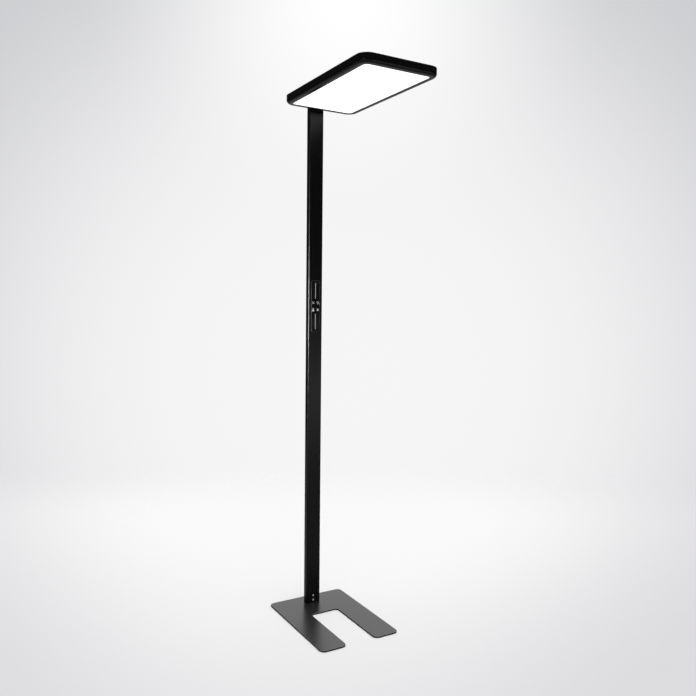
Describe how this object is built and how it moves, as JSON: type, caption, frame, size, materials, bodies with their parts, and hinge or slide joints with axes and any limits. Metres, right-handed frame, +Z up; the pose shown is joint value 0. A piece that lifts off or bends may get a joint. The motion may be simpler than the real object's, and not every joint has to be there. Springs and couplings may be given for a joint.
{
  "type": "office floor lamp",
  "caption": "Free-standing office floor lamp: slim rectangular LED head held at its rear edge by a flat pole with a touch panel, on a U-shaped steel base that slides round a desk leg.",
  "frame": {"origin": "on the floor directly under the axis of the pole, in the underside of the base mat", "axes": "+Z up; -Y is forward, the way the head and the legs of the base reach; +X is to the right for someone who looks along +Y at the front"},
  "size_m": [0.32, 0.6545, 1.97],
  "materials": {
    "satin_black_paint": "satin black powder coat on aluminium",
    "anthracite_powder": "fine-textured anthracite powder coat on steel",
    "black_plastic": "black moulded plastic, satin",
    "bright_steel": "bright zinc-plated or stainless screw",
    "black_steel": "black oxide screw",
    "raw_aluminium": "mill-finish aluminium",
    "black_rubber": "soft black rubber",
    "opal_panel": "opal acrylic that glows evenly",
    "clear_acrylic": "clear acrylic",
    "white_sheet": "white reflective sheet",
    "circuit_board_white": "white solder-mask circuit board",
    "circuit_board_green": "green solder-mask circuit board",
    "diode": "yellow phosphor diode",
    "black_glass": "black-backed cover glass, glossy",
    "print_grey": "light grey print",
    "case_white": "white moulded plastic case",
    "cable_sheath": "light grey cable sheath",
    "earth_wire": "green and yellow wire insulation",
    "wire_mix": "coloured wire insulation"
  },
  "bodies": {
    "root": {"base_plate": "anthracite_powder", "base_mat": "black_rubber", "base_bolts": "bright_steel", "foot_insert": "raw_aluminium", "foot_screws": "bright_steel", "earth_screw": "bright_steel", "earth_lead": "earth_wire", "mains_terminal": "case_white", "cord_gland": "black_rubber", "pole_profile": "satin_black_paint", "pole_cap": "black_plastic", "riser_cable": "cable_sheath", "touch_glass": "black_glass", "touch_symbols": "print_grey", "touch_board": "circuit_board_green", "touch_cable": "cable_sheath", "neck_insert": "raw_aluminium", "neck_bracket": "satin_black_paint", "neck_screws": "black_steel", "arm_screws": "bright_steel", "head_frame": "satin_black_paint", "diffuser": "opal_panel", "light_guide": "clear_acrylic", "reflector_sheet": "white_sheet", "edge_led_strips": "circuit_board_white", "edge_leds": "diode", "carrier_plate": "raw_aluminium", "carrier_screws": "bright_steel", "uplight_boards": "circuit_board_white", "uplight_leds": "diode", "board_screws": "bright_steel", "uplight_lens": "clear_acrylic", "top_cover": "satin_black_paint", "cover_posts": "bright_steel", "cover_screws": "black_steel", "downlight_driver": "case_white", "uplight_driver": "case_white", "driver_screws": "bright_steel", "control_module": "black_plastic", "head_terminal": "case_white", "head_wiring": "wire_mix"}
  },
  "joints": []
}
